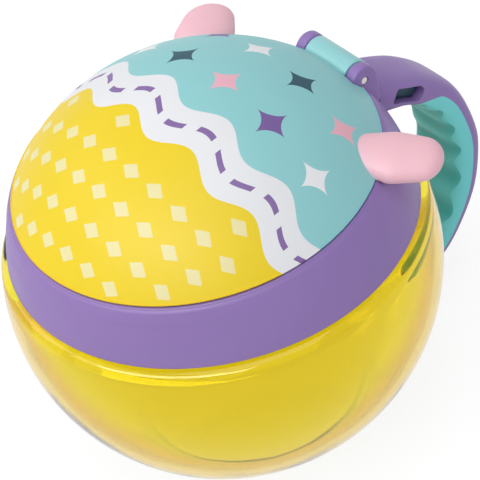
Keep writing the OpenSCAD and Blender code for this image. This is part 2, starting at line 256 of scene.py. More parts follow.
def thread_ridge(name, root_r, tip_r, z_mid, start):
    """A trapezoid carried up a helix."""
    bpy.ops.object.select_all(action="DESELECT")
    bpy.ops.mesh.primitive_plane_add(size=MM)
    ridge = bpy.context.object
    ridge.name = name
    low = z_mid - thread_t / 2
    corners = [(root_r, low), (tip_r, low + thread_t / 4), (tip_r, low + thread_t * 0.75),
               (root_r, low + thread_t)]
    grid_order = (corners[0], corners[1], corners[3], corners[2])
    for vertex, corner in zip(ridge.data.vertices, grid_order):
        vertex.co = Vector((corner[0], 0, corner[1])) * MM
    finished(ridge, "SCREW", axis="Z", angle=math.radians(thread_span), steps=28, render_steps=28,
             screw_offset=thread_lead * thread_span / 360 * MM, use_merge_vertices=False)
    bpy.ops.object.mode_set(mode="EDIT")
    bpy.ops.mesh.select_all(action="SELECT")
    bpy.ops.mesh.remove_doubles(threshold=0.004 * MM)
    bpy.ops.mesh.select_all(action="DESELECT")
    bpy.ops.mesh.select_non_manifold()
    bpy.ops.mesh.fill()
    bpy.ops.mesh.select_all(action="SELECT")
    bpy.ops.mesh.normals_make_consistent(inside=False)
    bpy.ops.object.mode_set(mode="OBJECT")
    ridge.data.transform(Matrix.Rotation(math.radians(start), 4, "Z"))
    return ridge


male_z = shoulder_z + 3.4
ridges = [thread_ridge("cup_ridge", neck_r - 0.2, neck_r + 1.0, male_z, 120 * i) for i in range(3)]
joined(cup, *ridges)
smooth(cup, 30)


def new_material(name):
    material = bpy.data.materials.new(name)
    material.use_nodes = True
    return material, material.node_tree, material.node_tree.nodes["Principled BSDF"]


def put_on(piece, material):
    piece.data.materials.clear()
    piece.data.materials.append(material)


# Moulded surface: the faint mottle and fine grain of moulded plastic and rubber, used by most of
# the pieces below, each with its own colour, scale and depth.
grain = bpy.data.node_groups.new("moulded_surface", "ShaderNodeTree")
for socket, kind in (("Color", "NodeSocketColor"), ("Mottle", "NodeSocketFloat"),
                     ("Roughness", "NodeSocketFloat"), ("Grain Scale", "NodeSocketFloat"),
                     ("Grain Depth", "NodeSocketFloat")):
    grain.interface.new_socket(name=socket, in_out="INPUT", socket_type=kind)
for socket, kind in (("Color", "NodeSocketColor"), ("Roughness", "NodeSocketFloat"),
                     ("Normal", "NodeSocketVector")):
    grain.interface.new_socket(name=socket, in_out="OUTPUT", socket_type=kind)
grain_in = grain.nodes.new("NodeGroupInput")
grain_out = grain.nodes.new("NodeGroupOutput")
grain_place = grain.nodes.new("ShaderNodeTexCoord")
mottle = grain.nodes.new("ShaderNodeTexNoise")
mottle.inputs["Scale"].default_value = 60.0
mottle.inputs["Detail"].default_value = 3.0
mottle_swing = grain.nodes.new("ShaderNodeMapRange")
mottle_swing.inputs["From Min"].default_value = 0.3
mottle_swing.inputs["From Max"].default_value = 0.7
mottle_swing.inputs["To Min"].default_value = -1.0
mottle_swing.inputs["To Max"].default_value = 1.0
mottle_amount = grain.nodes.new("ShaderNodeMath")
mottle_amount.operation = "MULTIPLY"
mottle_value = grain.nodes.new("ShaderNodeMath")
mottle_value.operation = "ADD"
mottle_value.inputs[1].default_value = 1.0
mottled = grain.nodes.new("ShaderNodeHueSaturation")
rough_swing = grain.nodes.new("ShaderNodeMath")
rough_swing.operation = "MULTIPLY_ADD"
rough_swing.inputs[1].default_value = 0.05
fine = grain.nodes.new("ShaderNodeTexNoise")
fine.inputs["Detail"].default_value = 2.0
grain_bump = grain.nodes.new("ShaderNodeBump")
grain_bump.inputs["Strength"].default_value = 1.0
grain.links.new(grain_place.outputs["Object"], mottle.inputs["Vector"])
grain.links.new(grain_place.outputs["Object"], fine.inputs["Vector"])
grain.links.new(mottle.outputs["Fac"], mottle_swing.inputs["Value"])
grain.links.new(mottle_swing.outputs["Result"], mottle_amount.inputs[0])
grain.links.new(grain_in.outputs["Mottle"], mottle_amount.inputs[1])
grain.links.new(mottle_amount.outputs[0], mottle_value.inputs[0])
grain.links.new(mottle_value.outputs[0], mottled.inputs["Value"])
grain.links.new(grain_in.outputs["Color"], mottled.inputs["Color"])
grain.links.new(mottled.outputs["Color"], grain_out.inputs["Color"])
grain.links.new(mottle_swing.outputs["Result"], rough_swing.inputs[0])
grain.links.new(grain_in.outputs["Roughness"], rough_swing.inputs[2])
grain.links.new(rough_swing.outputs[0], grain_out.inputs["Roughness"])
grain.links.new(grain_in.outputs["Grain Scale"], fine.inputs["Scale"])
grain.links.new(fine.outputs["Fac"], grain_bump.inputs["Height"])
grain.links.new(grain_in.outputs["Grain Depth"], grain_bump.inputs["Distance"])
grain.links.new(grain_bump.outputs["Normal"], grain_out.inputs["Normal"])


def moulded(name, colour, mottle_share, roughness, grain_scale, grain_depth, **shader):
    """A plastic or rubber with the moulded surface on it."""
    material, tree, bsdf = new_material(name)
    surface = tree.nodes.new("ShaderNodeGroup")
    surface.node_tree = grain
    surface.inputs["Color"].default_value = (*colour, 1)
    surface.inputs["Mottle"].default_value = mottle_share
    surface.inputs["Roughness"].default_value = roughness
    surface.inputs["Grain Scale"].default_value = grain_scale
    surface.inputs["Grain Depth"].default_value = grain_depth
    tree.links.new(surface.outputs["Color"], bsdf.inputs["Base Color"])
    tree.links.new(surface.outputs["Roughness"], bsdf.inputs["Roughness"])
    tree.links.new(surface.outputs["Normal"], bsdf.inputs["Normal"])
    for key, value in shader.items():
        bsdf.inputs[key.replace("_", " ").title().replace("Ior", "IOR")].default_value = value
    return material


def surface_of(material):
    """The moulded surface in a material, whose Color can be linked to a pattern."""
    return next(node for node in material.node_tree.nodes if node.type == "GROUP")


# The cup's plastic: deep yellow face on, paler towards its outline and amber at the very edge, both
# painted into its colour by the facing angle: a painted sheen, and a painted stand-in for the light
# that runs along the wall. Its wall is a little uneven, which bends what shows through.
clear_yellow, clear_tree, clear_bsdf = new_material("clear_yellow")
clear_bsdf.inputs["Roughness"].default_value = 0.03
clear_bsdf.inputs["IOR"].default_value = 1.47
clear_bsdf.inputs["Transmission Weight"].default_value = 1.0
clear_bsdf.inputs["Specular Tint"].default_value = (1.0, 0.93, 0.65, 1)
# Painted light: the facing ramp below lays the pale sheen and the amber edge into the base colour.
clear_facing = clear_tree.nodes.new("ShaderNodeLayerWeight")
clear_facing.inputs["Blend"].default_value = 0.5
clear_ramp = clear_tree.nodes.new("ShaderNodeValToRGB")
clear_ramp.color_ramp.elements[0].position = 0.15
clear_ramp.color_ramp.elements[0].color = (0.87, 0.74, 0.002, 1)
clear_ramp.color_ramp.elements[1].position = 0.98
clear_ramp.color_ramp.elements[1].color = (0.68, 0.36, 0.14, 1)
clear_pale = clear_ramp.color_ramp.elements.new(0.54)
clear_pale.color = (0.90, 0.81, 0.18, 1)
clear_amber = clear_ramp.color_ramp.elements.new(0.75)
clear_amber.color = (0.81, 0.47, 0.11, 1)
clear_tree.links.new(clear_facing.outputs["Facing"], clear_ramp.inputs["Fac"])
clear_tree.links.new(clear_ramp.outputs["Color"], clear_bsdf.inputs["Base Color"])
clear_wall = clear_tree.nodes.new("ShaderNodeGroup")
clear_wall.node_tree = grain
clear_wall.inputs["Grain Scale"].default_value = 28.0
clear_wall.inputs["Grain Depth"].default_value = 0.35 * MM
clear_tree.links.new(clear_wall.outputs["Normal"], clear_bsdf.inputs["Normal"])
clear_path = clear_tree.nodes.new("ShaderNodeLightPath")
clear_dim = clear_tree.nodes.new("ShaderNodeMath")
clear_dim.operation = "MAXIMUM"
clear_shadow = clear_tree.nodes.new("ShaderNodeBsdfTransparent")
clear_shadow.inputs["Color"].default_value = (0.94, 0.92, 0.84, 1)
clear_mix = clear_tree.nodes.new("ShaderNodeMixShader")
clear_out = clear_tree.nodes["Material Output"]
clear_tree.links.new(clear_path.outputs["Is Shadow Ray"], clear_dim.inputs[0])
clear_tree.links.new(clear_path.outputs["Is Diffuse Ray"], clear_dim.inputs[1])
clear_tree.links.new(clear_dim.outputs[0], clear_mix.inputs["Fac"])
clear_tree.links.new(clear_bsdf.outputs[0], clear_mix.inputs[1])
clear_tree.links.new(clear_shadow.outputs[0], clear_mix.inputs[2])
clear_tree.links.new(clear_mix.outputs[0], clear_out.inputs["Surface"])
put_on(cup, clear_yellow)
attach(cup, "cup")
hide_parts("cup_shell")


# Collar: a satin purple moulding that screws onto the neck. Its band carries the cup's round on,
# its rim is tilted a little down to the front, and the lid sits inside the rim.
rim_h = 26.9
dome_r = 48.5
rim_r = math.sqrt(dome_r ** 2 - rim_h ** 2)
lid_tilt = math.radians(2.3)
skirt_z = shoulder_z + 0.3
skirt_in = neck_r + 1.5
band_low_r = ledge_r + 0.6
band_top_r = rim_r + 0.3
band_c = ((band_low_r ** 2 + (skirt_z - ball_z) ** 2 - band_top_r ** 2 - rim_h ** 2)
          / (2 * (skirt_z - ball_z - rim_h)))
band_r = math.hypot(band_low_r, skirt_z - ball_z - band_c)
rim_in = band_top_r - 2.7
mouth_r = rim_in - 4.5
deck_low = neck_top + 1.2
seat_z = ball_z + rim_h - 2.6
rim_z = ball_z + rim_h - 0.25


def band_angle(z):
    return math.degrees(math.asin((z - ball_z - band_c) / band_r))


def band_at(z):
    return math.sqrt(band_r ** 2 - (z - ball_z - band_c) ** 2)


collar_outline = arc((mouth_r + 0.4, deck_low + 0.4), 0.4, 180, 270, 3)
collar_outline += [(skirt_in, deck_low), (skirt_in, skirt_z + 0.5)]
collar_outline += arc((skirt_in + 0.5, skirt_z + 0.5), 0.5, 180, 270, 3)[1:]
collar_outline += arc((band_at(skirt_z) - 0.75, skirt_z + 0.7), 0.7, 270, 360, 5)
collar_outline += arc((0, ball_z + band_c), band_r, band_angle(skirt_z + 1.0),
                      band_angle(rim_z - 0.7), 26)
collar_outline += arc((band_at(rim_z) - 0.55, rim_z - 0.5), 0.5, 10, 90, 5)
collar_outline += arc((rim_in + 0.4, rim_z - 0.4), 0.4, 90, 180, 4)
collar_outline += arc((rim_in - 0.4, seat_z + 0.4), 0.4, 0, -90, 3)
collar_outline += arc((mouth_r + 0.5, seat_z - 0.5), 0.5, 90, 180, 3)
collar_outline += [collar_outline[0]]
collar = turned("collar", collar_outline, 192)


def tilt_above(piece, low, high):
    """Turns what is above low forwards with the parting plane, and blends it in up to high."""
    for vertex in piece.data.vertices:
        share = min(max((vertex.co.z / MM - low) / (high - low), 0), 1)
        turn = (Matrix.Translation((0, 0, ball_z * MM)) @ Matrix.Rotation(lid_tilt * share, 4, "X")
                @ Matrix.Translation((0, 0, -ball_z * MM)))
        vertex.co = turn @ vertex.co


tilt_above(collar, deck_low, seat_z - 0.8)

hinge_y = rim_r - 1.4
pin_z = ball_z + rim_h + 2.7
hinge_r = 3.5
barrel_half = 6.7
lug_in = barrel_half + 0.3
lug_out = lug_in + 2.8
sweep_r = hinge_r + 0.45


def rod(name, radius, x0, x1, y, z, sides=64):
    """A round rod along X, in millimetres."""
    bpy.ops.object.select_all(action="DESELECT")
    bpy.ops.mesh.primitive_cylinder_add(vertices=sides, radius=radius * MM, depth=(x1 - x0) * MM)
    piece = bpy.context.object
    piece.name = name
    piece.data.transform(Matrix.Translation(Vector(((x0 + x1) / 2, y, z)) * MM)
                         @ Matrix.Rotation(math.radians(90), 4, "Y"))
    return piece


def cut(piece, *cutters):
    """Cuts each cutter out of the piece and deletes it."""
    for cutter in cutters:
        finished(piece, "BOOLEAN", operation="DIFFERENCE", object=cutter, solver="EXACT")
        bpy.data.objects.remove(cutter, do_unlink=True)


cut(collar, rod("sweep_cut", sweep_r, -lug_in, lug_in, hinge_y, pin_z, 96))


def side_block(name, points, x0, x1, rounding=0.0):
    """A side view outline of (Y, Z) points drawn out along X, its long edges rounded."""
    bpy.ops.object.select_all(action="DESELECT")
    bpy.ops.mesh.primitive_circle_add(vertices=len(points), fill_type="NGON")
    piece = bpy.context.object
    piece.name = name
    for vertex, point in zip(piece.data.vertices, points):
        vertex.co = Vector((x0, *point)) * MM
    bpy.ops.object.mode_set(mode="EDIT")
    bpy.ops.mesh.select_all(action="SELECT")
    bpy.ops.mesh.extrude_region_move(TRANSFORM_OT_translate={"value": ((x1 - x0) * MM, 0, 0)})
    bpy.ops.mesh.select_all(action="SELECT")
    bpy.ops.mesh.normals_make_consistent(inside=False)
    bpy.ops.object.mode_set(mode="OBJECT")
    if rounding:
        bpy.ops.object.mode_set(mode="EDIT")
        bpy.ops.mesh.select_all(action="DESELECT")
        bpy.ops.object.mode_set(mode="OBJECT")
        for edge in piece.data.edges:
            ends = [piece.data.vertices[k].co.x for k in edge.vertices]
            edge.select = abs(ends[0] - ends[1]) > (x1 - x0) / 2 * MM
        bpy.ops.object.mode_set(mode="EDIT")
        bpy.ops.mesh.bevel(offset=rounding * MM, segments=5, clamp_overlap=True)
        bpy.ops.object.mode_set(mode="OBJECT")
    return piece


def lug(side):
    """One hinge lug: a round head on a foot that runs down into the band, bored for the pin."""
    front = hinge_y - hinge_r + 0.4
    foot = neck_top - 2.4
    outline = arc((hinge_y, pin_z), hinge_r, 0, 176, 36)
    outline += [(front, foot + 5), (hinge_y - 2, foot), (hinge_y + 1.2, foot),
                (hinge_y + 3.4, foot + 6)]
    inner, outer = (lug_in, lug_out) if side > 0 else (-lug_out, -lug_in)
    piece = side_block("collar_lug", outline, inner, outer)
    finished(piece, "BEVEL", width=0.6 * MM, segments=4, limit_method="ANGLE",
             angle_limit=math.radians(50))
    cut(piece, rod("pin_bore", 1.02, -lug_out - 1, lug_out + 1, hinge_y, pin_z, 48))
    return piece


lugs = [lug(-1), lug(1)]
thread_play = 0.3
female_z = male_z - 0.62 * thread_t - thread_play
ridges = [thread_ridge("collar_ridge", skirt_in + 0.2, neck_r + 0.45, female_z, 120 * i)
          for i in range(3)]
bpy.ops.object.select_all(action="DESELECT")
bpy.ops.mesh.primitive_cylinder_add(vertices=192, radius=skirt_in * MM, depth=deck_low * MM,
                                    location=(0, 0, deck_low / 2 * MM))
skirt_room = bpy.context.object
bpy.ops.object.transform_apply(location=True)
for piece in lugs:
    finished(piece, "BOOLEAN", operation="DIFFERENCE", object=skirt_room, solver="EXACT")
bpy.data.objects.remove(skirt_room, do_unlink=True)
joined(collar, *lugs, *ridges)
smooth(collar, 35)
purple = moulded("purple_plastic", (0.308, 0.196, 0.488), 0.02, 0.42, 2600.0, 0.02 * MM,
                 specular_ior_level=0.3)
put_on(collar, purple)
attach(collar, "collar")
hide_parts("collar")

# Gasket: a soft white ring between the neck's top and the collar's deck.
gasket_low = neck_top + 0.1
gasket_high = deck_low - 0.1
gasket_outline = arc((neck_r - 0.35, gasket_high - 0.35), 0.35, 90, 0, 3)
gasket_outline += arc((neck_r - 0.35, gasket_low + 0.35), 0.35, 0, -90, 3)
gasket_outline += arc((neck_r - 2.25, gasket_low + 0.35), 0.35, 270, 180, 3)
gasket_outline += arc((neck_r - 2.25, gasket_high - 0.35), 0.35, 180, 90, 3)
gasket_outline += [gasket_outline[0]]
gasket = turned("gasket", gasket_outline, 128)
smooth(gasket, 40)
white_silicone = moulded("white_silicone", (0.80, 0.82, 0.82), 0.01, 0.45, 1500.0, 0.02 * MM,
                         subsurface_weight=0.15, subsurface_scale=0.002)
put_on(gasket, white_silicone)
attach(gasket, "gasket")
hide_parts("collar_seal")

# Soft closure: a ring of teal silicone clipped over the deck's inner edge, and eight flaps that
# meet in the middle of the mouth. A hand pushes them down, and they spring back.
flap_low = deck_low - 0.9
flap_t = 1.4
half_sector = math.radians(22.5)
flap_reach = (mouth_r - 4.0 + 0.2) * math.cos(half_sector)
ring_top = deck_low + 1.5
ring_outline = arc((mouth_r + 1.9, flap_low + 0.3), 0.3, -90, 0, 3)
ring_outline += arc((mouth_r + 1.9, deck_low - 0.3), 0.3, 0, 90, 3)
ring_outline += [(mouth_r - 0.01, deck_low)]
ring_outline += arc((mouth_r - 0.61, ring_top - 0.6), 0.6, 0, 90, 4)
ring_outline += arc((mouth_r - 0.9, ring_top - 0.4), 0.4, 90, 180, 3)
ring_outline += arc((mouth_r - 1.9, flap_low + flap_t + 0.6), 0.6, 0, -90, 3)
ring_outline += [(29.9, flap_low + flap_t), (29.66, flap_low + flap_t - 0.3)]
ring_outline += [(29.66, flap_low + 0.3), (29.9, flap_low)]
ring_outline += [ring_outline[0]]
flap_ring = turned("flap_ring", ring_outline, 144)
for vertex in flap_ring.data.vertices:
    if math.hypot(vertex.co.x, vertex.co.y) < 30 * MM:
        turn_from_face = math.atan2(vertex.co.y, vertex.co.x) % (2 * half_sector)
        if turn_from_face > half_sector:
            turn_from_face -= 2 * half_sector
        pull = math.cos(half_sector) / math.cos(turn_from_face)
        vertex.co.x *= pull
        vertex.co.y *= pull
smooth(flap_ring, 35)
teal_silicone = moulded("teal_silicone", (0.10, 0.36, 0.36), 0.02, 0.5, 1500.0, 0.03 * MM,
                        subsurface_weight=0.1, subsurface_scale=0.002)
put_on(flap_ring, teal_silicone)
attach(flap_ring, "collar")
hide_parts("flap_ring")

bpy.ops.object.select_all(action="DESELECT")
bpy.ops.mesh.primitive_plane_add(size=MM)
petal = bpy.context.object
petal.name = "flap_1"
petal_edge = flap_reach - 0.3
petal_half = petal_edge * math.tan(half_sector) - 0.5
petal_corners = [(1.5, -0.12), (petal_edge, -petal_half), (1.5, 0.12), (petal_edge, petal_half)]
for vertex, corner in zip(petal.data.vertices, petal_corners):
    vertex.co = Vector((corner[0], corner[1], flap_low)) * MM
bpy.ops.object.mode_set(mode="EDIT")
bpy.ops.mesh.select_all(action="SELECT")
bpy.ops.mesh.extrude_region_move(TRANSFORM_OT_translate={"value": (0, 0, flap_t * MM)})
bpy.ops.mesh.inset(thickness=1.3 * MM)
bpy.ops.mesh.inset(thickness=0.5 * MM, depth=-0.35 * MM)
bpy.ops.mesh.select_all(action="SELECT")
bpy.ops.mesh.normals_make_consistent(inside=False)
bpy.ops.object.mode_set(mode="OBJECT")
finished(petal, "BEVEL", width=0.28 * MM, segments=3, limit_method="ANGLE",
         angle_limit=math.radians(30))
smooth(petal, 40)
petals = [petal]
for i in range(1, 8):
    pick(petal)
    bpy.ops.object.duplicate()
    other = bpy.context.object
    other.name = "flap_%d" % (i + 1)
    other.data.transform(Matrix.Rotation(2 * half_sector * i, 4, "Z"))
    petals.append(other)
for i, piece in enumerate(petals):
    put_on(piece, teal_silicone)
    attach(piece, "flap_%d_body" % (i + 1))
    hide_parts("flap_%d" % (i + 1))


# Lid dome: a thin shell of pale teal plastic that goes on from the ball's round, with a flange
# inside its edge and a hinge barrel at the back. Its outside is printed with a plain pattern.
dome_wall = 1.8
liner_r = rim_in - 0.6
flange_t = 1.4
rim_end = math.degrees(math.asin((rim_h + 0.35) / dome_r))
inner_start = math.degrees(math.asin((rim_h + flange_t) / (dome_r - dome_wall)))
dome_outline = arc((0, ball_z), dome_r, 90, rim_end, 56)
dome_outline += arc((rim_r - 0.45, ball_z + rim_h + 0.4), 0.4, 10, -90, 4)
dome_outline += [(liner_r - 4, ball_z + rim_h), (liner_r - 4, ball_z + rim_h + flange_t)]
dome_outline += arc((0, ball_z), dome_r - dome_wall, inner_start, 90, 40)
dome = turned("lid_dome", dome_outline, 192)

print_map = dome.data.uv_layers.new(name="print")
for polygon in dome.data.polygons:
    for k in polygon.loop_indices:
        spot = dome.data.vertices[dome.data.loops[k].vertex_index].co / MM - Vector((0, 0, ball_z))
        across = math.hypot(spot.x, spot.y)
        along = math.atan2(across, spot.z) * dome_r / max(across, 0.001)
        print_map.data[k].uv = (spot.x * along, spot.y * along)


def tilted(piece):
    """Tilts a lid piece with the parting plane."""
    up = Vector((0, 0, ball_z * MM))
    piece.data.transform(Matrix.Translation(up) @ Matrix.Rotation(lid_tilt, 4, "X")
                         @ Matrix.Translation(-up))


tilted(dome)
notch_end = lug_out + 0.3
cut(dome, rod("notch_cut", sweep_r, barrel_half, notch_end, hinge_y, pin_z, 96),
    rod("notch_cut", sweep_r, -notch_end, -barrel_half, hinge_y, pin_z, 96))
smooth(dome, 35)

# Hinge barrel: the teal knuckle at the dome's back edge, bored for the pin and one with the dome.
barrel = rod("barrel", hinge_r, -barrel_half, barrel_half, hinge_y, pin_z, 96)
finished(barrel, "BEVEL", width=0.35 * MM, segments=3, limit_method="ANGLE",
         angle_limit=math.radians(50))
cut(barrel, rod("pin_bore", 1.05, -lug_out, lug_out, hinge_y, pin_z, 48))
smooth(barrel, 35)


def paint(red, green, blue):
    """The linear colour of an eight-bit screen colour."""
    return tuple(((c / 255 + 0.055) / 1.055) ** 2.4 if c > 10 else c / 255 / 12.92
                 for c in (red, green, blue))


def sum_node(tree, operation, first, second=None, third=None):
    """A Math node on sockets or plain numbers."""
    node = tree.nodes.new("ShaderNodeMath")
    node.operation = operation
    for socket, value in zip(node.inputs, (first, second, third)):
        if isinstance(value, (int, float)):
            socket.default_value = value
        elif value is not None:
            tree.links.new(value, socket)
    return node.outputs[0]


# One staggered lattice of like motifs, each |x|^p + |y|^p < 1: diamonds at p = 1, stars below it.
lattice = bpy.data.node_groups.new("motif_lattice", "ShaderNodeTree")
for socket in ("Across", "Along", "Spacing", "Half Width", "Half Height", "Power", "Row Shift"):
    lattice.interface.new_socket(name=socket, in_out="INPUT", socket_type="NodeSocketFloat")
for socket in ("Mask", "Cell", "Centre Across", "Centre Along"):
    lattice.interface.new_socket(name=socket, in_out="OUTPUT", socket_type="NodeSocketFloat")
lattice_in = lattice.nodes.new("NodeGroupInput")
lattice_out = lattice.nodes.new("NodeGroupOutput")
row_place = sum_node(lattice, "DIVIDE", lattice_in.outputs["Along"], lattice_in.outputs["Spacing"])
row = sum_node(lattice, "FLOOR", row_place)
shift = sum_node(lattice, "MULTIPLY", row, lattice_in.outputs["Row Shift"])
unshifted = sum_node(lattice, "DIVIDE", lattice_in.outputs["Across"], lattice_in.outputs["Spacing"])
column_place = sum_node(lattice, "ADD", unshifted, shift)
column = sum_node(lattice, "FLOOR", column_place)
sides = []
for place, cell, half in ((column_place, column, "Half Width"), (row_place, row, "Half Height")):
    off = sum_node(lattice, "SUBTRACT", place, cell)
    off = sum_node(lattice, "ABSOLUTE", sum_node(lattice, "SUBTRACT", off, 0.5))
    off = sum_node(lattice, "MULTIPLY", off, lattice_in.outputs["Spacing"])
    off = sum_node(lattice, "DIVIDE", off, lattice_in.outputs[half])
    sides.append(sum_node(lattice, "POWER", off, lattice_in.outputs["Power"]))
reach = sum_node(lattice, "ADD", sides[0], sides[1])
lattice.links.new(sum_node(lattice, "LESS_THAN", reach, 1.0), lattice_out.inputs["Mask"])
cell_sum = sum_node(lattice, "MULTIPLY_ADD", row, 2.0, column)
lattice.links.new(sum_node(lattice, "FLOORED_MODULO", cell_sum, 4.0), lattice_out.inputs["Cell"])
row_middle = sum_node(lattice, "ADD", row, 0.5)
centre_along = sum_node(lattice, "MULTIPLY", row_middle, lattice_in.outputs["Spacing"])
column_middle = sum_node(lattice, "SUBTRACT", sum_node(lattice, "ADD", column, 0.5), shift)
centre_across = sum_node(lattice, "MULTIPLY", column_middle, lattice_in.outputs["Spacing"])
lattice.links.new(centre_across, lattice_out.inputs["Centre Across"])
lattice.links.new(centre_along, lattice_out.inputs["Centre Along"])

dome_teal = paint(152, 213, 215)
printed = moulded("teal_printed", dome_teal, 0.012, 0.46, 2600.0, 0.015 * MM,
                  specular_ior_level=0.25)
tree = printed.node_tree
print_uv = tree.nodes.new("ShaderNodeUVMap")
print_uv.uv_map = "print"
print_xy = tree.nodes.new("ShaderNodeSeparateXYZ")
tree.links.new(print_uv.outputs["UV"], print_xy.inputs[0])
across = print_xy.outputs["X"]
along = print_xy.outputs["Y"]


def inked_or_shaded(tree, under, colour, mask):
    """Lays one flat colour over what is under it, where the mask is 1: print on the dome, painted
    shade in the grip's grooves.
    """
    mix = tree.nodes.new("ShaderNodeMix")
    mix.data_type = "RGBA"
    tree.links.new(mask, mix.inputs["Factor"])
    if isinstance(under, tuple):
        mix.inputs["A"].default_value = (*under, 1)
    else:
        tree.links.new(under, mix.inputs["A"])
    mix.inputs["B"].default_value = (*colour, 1)
    return mix.outputs["Result"]


def motifs(spacing, half_width, half_height, power, row_shift, farthest, shift_x=0.0, shift_y=0.0):
    """Motifs whose middles lie no farther than farthest millimetres from the dome's top."""
    node = tree.nodes.new("ShaderNodeGroup")
    node.node_tree = lattice
    tree.links.new(sum_node(tree, "ADD", across, shift_x), node.inputs["Across"])
    tree.links.new(sum_node(tree, "ADD", along, shift_y), node.inputs["Along"])
    for key, value in (("Spacing", spacing), ("Half Width", half_width),
                       ("Half Height", half_height), ("Power", power), ("Row Shift", row_shift)):
        node.inputs[key].default_value = value
    middle_x = sum_node(tree, "SUBTRACT", node.outputs["Centre Across"], shift_x)
    middle_y = sum_node(tree, "SUBTRACT", node.outputs["Centre Along"], shift_y)
    squared = sum_node(tree, "MULTIPLY_ADD", middle_x, middle_x,
                       sum_node(tree, "MULTIPLY", middle_y, middle_y))
    whole = sum_node(tree, "LESS_THAN", squared, farthest ** 2)
    mask = sum_node(tree, "MULTIPLY", node.outputs["Mask"], whole)
    return mask, node.outputs["Cell"], hem_at(middle_x, middle_y)


def hem_at(x, y):
    """How far a spot lies behind the wavy hem's middle line, in millimetres."""
    swing = sum_node(tree, "SINE", sum_node(tree, "MULTIPLY", x, hem_turn))
    return sum_node(tree, "MULTIPLY_ADD", swing, hem_height, y)


hem_turn = 0.33
hem_height = 2.0
hem = hem_at(across, along)
yellow_end = -9.0
ribbon_end = 1.5
in_yellow = sum_node(tree, "LESS_THAN", hem, yellow_end)
in_ribbon = sum_node(tree, "LESS_THAN", hem, ribbon_end)
stars, star_cell, star_hem = motifs(spacing=15.0, half_width=4.6, half_height=4.6, power=0.62,
                                    row_shift=0.5, farthest=40.0, shift_x=3.0, shift_y=-3.0)
stars = sum_node(tree, "MULTIPLY", stars, sum_node(tree, "GREATER_THAN", star_hem, ribbon_end + 4.0))
art = dome_teal
for cell, colour in ((0, paint(246, 186, 200)), (1, paint(126, 98, 160)),
                     (2, paint(245, 245, 246)), (3, paint(40, 84, 100))):
    chosen = sum_node(tree, "COMPARE", star_cell, float(cell), 0.4)
    art = inked_or_shaded(tree, art, colour, sum_node(tree, "MULTIPLY", stars, chosen))
art = inked_or_shaded(tree, art, paint(240, 240, 242), in_ribbon)
dash_pitch = 6.8
dash_half_length = 2.1
dash_half_width = 0.75
dash_line = -3.7
from_dash = sum_node(tree, "PINGPONG", across, dash_pitch / 2)
dash_long = sum_node(tree, "LESS_THAN", from_dash, dash_half_length)
from_line = sum_node(tree, "ABSOLUTE", sum_node(tree, "SUBTRACT", hem, dash_line))
dash_wide = sum_node(tree, "LESS_THAN", from_line, dash_half_width)
art = inked_or_shaded(tree, art, paint(140, 110, 168), sum_node(tree, "MULTIPLY", dash_long, dash_wide))
art = inked_or_shaded(tree, art, paint(245, 214, 40), in_yellow)
diamonds, _, diamond_hem = motifs(spacing=7.4, half_width=2.6, half_height=1.9, power=1.0,
                                  row_shift=0.5, farthest=44.8)
deep = sum_node(tree, "LESS_THAN", diamond_hem, yellow_end - 3.2)
art = inked_or_shaded(tree, art, paint(242, 231, 172), sum_node(tree, "MULTIPLY", diamonds, deep))
tree.links.new(art, surface_of(printed).inputs["Color"])

teal = moulded("teal_plastic", dome_teal, 0.012, 0.34, 2600.0, 0.015 * MM)
put_on(barrel, teal)
dome.data.materials.clear()
dome.data.materials.append(printed)
dome.data.materials.append(teal)
for polygon in dome.data.polygons:
    out = polygon.center - Vector((0, 0, ball_z * MM))
    polygon.material_index = 0 if out.length > (dome_r - 0.3) * MM else 1
barrel.data.uv_layers.new(name="print")
for polygon in barrel.data.polygons:
    polygon.material_index = 0
joined(dome, barrel)
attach(dome, "lid")
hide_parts("lid_dome")

# Lid liner: a flat white plastic panel that closes the dome from below and lies against its inner
# flange. A low plug wall stands down from it into the mouth.
liner_low = ball_z + rim_h - 1.7
ring_lip = 1.3
plug_gap = 0.3
lip_depth = 0.9
plug_r = mouth_r - ring_lip - plug_gap - lip_depth
plug_low = liner_low - 1.6
plug_y = rim_h * math.tan(lid_tilt)
liner_outline = [(0, ball_z + rim_h), (liner_r - 1, ball_z + rim_h)]
liner_outline += arc((liner_r - 0.3, ball_z + rim_h - 0.3), 0.3, 90, 0, 3)
liner_outline += arc((liner_r - 0.5, liner_low + 0.5), 0.5, 0, -90, 4)
liner_outline += [(24.0, liner_low), (23.4, liner_low + 0.35), (0, liner_low + 0.35)]
liner = turned("lid_liner", liner_outline, 144)
plug_outline = [(plug_r, liner_low + 0.2), (plug_r, plug_low + 0.3)]
plug_outline += arc((plug_r - 0.3, plug_low + 0.3), 0.3, 0, -90, 3)[1:]
plug_outline += arc((plug_r - 1.3, plug_low + 0.3), 0.3, -90, -180, 3)
plug_outline += [(plug_r - 1.6, liner_low - 0.3), (plug_r - 1.9, liner_low + 0.2)]
plug_outline += [plug_outline[0]]
plug = turned("plug", plug_outline, 144)
plug.data.transform(Matrix.Translation((0, plug_y * MM, 0)))
joined(liner, plug)
tilted(liner)
cut(liner, rod("notch_cut", sweep_r, -notch_end, notch_end, hinge_y, pin_z, 96))
smooth(liner, 35)
white = moulded("white_plastic", paint(236, 238, 240), 0.008, 0.4, 2600.0, 0.012 * MM)
put_on(liner, white)
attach(liner, "lid")
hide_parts("lid_liner")

